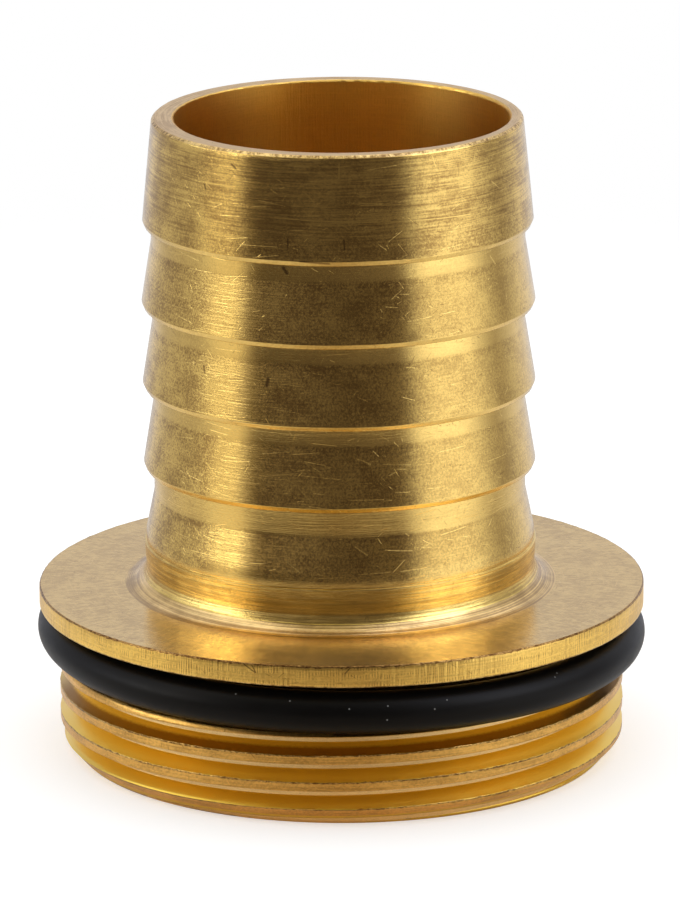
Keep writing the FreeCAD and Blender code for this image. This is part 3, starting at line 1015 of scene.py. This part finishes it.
def compass_colours(tree, right, ahead):
    """The room's colour by compass direction."""
    compass = sums(tree, "ARCTAN2", right, ahead)
    share = sums(tree, "ADD", sums(tree, "DIVIDE", compass, 2 * math.pi), 0.5)
    curve = node(tree, "ShaderNodeValToRGB", {"Fac": share})
    stops = curve.color_ramp.elements
    while len(stops) > 1:
        stops.remove(stops[0])
    for number, (degrees, level) in enumerate(STUDIO):
        position = (degrees + 180) / 360
        stop = stops.new(position) if number else stops[0]
        stop.position = position
        stop.color = (*tinted(degrees, level), 1)
    return curve.outputs[0]


def wall_gain(tree, right, back, up, ahead):
    """How much brighter or darker than at the horizon the walls are above and below it."""
    rise = ramp(tree, up, *WALL_UP)
    slope = sums(tree, "MAXIMUM", rise, ramp(tree, up, *WALL_DOWN))
    near = ramp(tree, ahead, -0.5, 0.1)
    side = times(tree, sums(tree, "ABSOLUTE", right), near, plus(tree, 0.2, rise, 1.3))
    key = times(tree, ramp(tree, up, *KEY_EDGE), rise, near, -3.2)
    side = plus(tree, side, key, right)
    behind = plus(tree, -0.15, ramp(tree, up, *BACK_EDGE), 0.2)
    behind = times(tree, sums(tree, "MAXIMUM", back, 0.0), behind)
    gain = times(tree, plus(tree, side, behind), slope)
    return sums(tree, "MAXIMUM", gain, -0.5)


def studio():
    """White to the camera, plain to dull surfaces, and a dark room with soft lights to metal."""
    world = bpy.data.worlds.new("studio")
    bpy.context.scene.world = world
    world.use_nodes = True
    tree = world.node_tree
    tree.nodes.clear()
    towards = node(tree, "ShaderNodeTexCoord").outputs["Generated"]
    right, back, up = node(tree, "ShaderNodeSeparateXYZ", {0: towards}).outputs
    ahead = times(tree, back, -1.0)
    horizon = compass_colours(tree, right, ahead)
    gain = wall_gain(tree, right, back, up, ahead)
    gains = vector(tree, "MULTIPLY_ADD", gain, WALL_TINT, (1.0, 1.0, 1.0))
    walls = vector(tree, "MULTIPLY", horizon, gains)
    ceiling = vector(tree, "MULTIPLY_ADD", horizon, CEILING_GAIN, CEILING_LIGHT)
    room = blend(tree, ramp(tree, plus(tree, up, back, 0.2), *CEILING_EDGE), walls, ceiling)
    light = node(tree, "ShaderNodeLightPath")
    to_metal = blend(tree, light.outputs["Is Glossy Ray"], (1.0, 1.0, 1.0), room)
    background = node(tree, "ShaderNodeBackground", {"Color": to_metal, "Strength": 1.0})
    node(tree, "ShaderNodeOutputWorld", {"Surface": background.outputs[0]})


studio()

# Camera, with the part's axis a pixel and a half right of the middle of a picture 897 pixels high
AIM = Vector((0, 0, 25.74)) * MM
DISTANCE = 560 * MM
ELEVATION = math.radians(15.29)
LENS = 266.5
SENSOR_WIDTH = 36
AXIS_SHIFT = 1.5
PICTURE_HEIGHT = 897
camera = bpy.data.objects.new("camera", bpy.data.cameras.new("camera"))
bpy.context.scene.collection.objects.link(camera)
back_off = Vector((0, -math.cos(ELEVATION), math.sin(ELEVATION)))
camera.location = AIM + back_off * DISTANCE
camera.rotation_euler = (math.pi / 2 - ELEVATION, 0, 0)
camera.data.lens = LENS
camera.data.sensor_width = SENSOR_WIDTH
camera.data.shift_x = -AXIS_SHIFT / PICTURE_HEIGHT
camera.data.clip_start = 0.01
camera.data.clip_end = 20
bpy.context.scene.camera = camera
bpy.context.scene.view_settings.view_transform = "Standard"
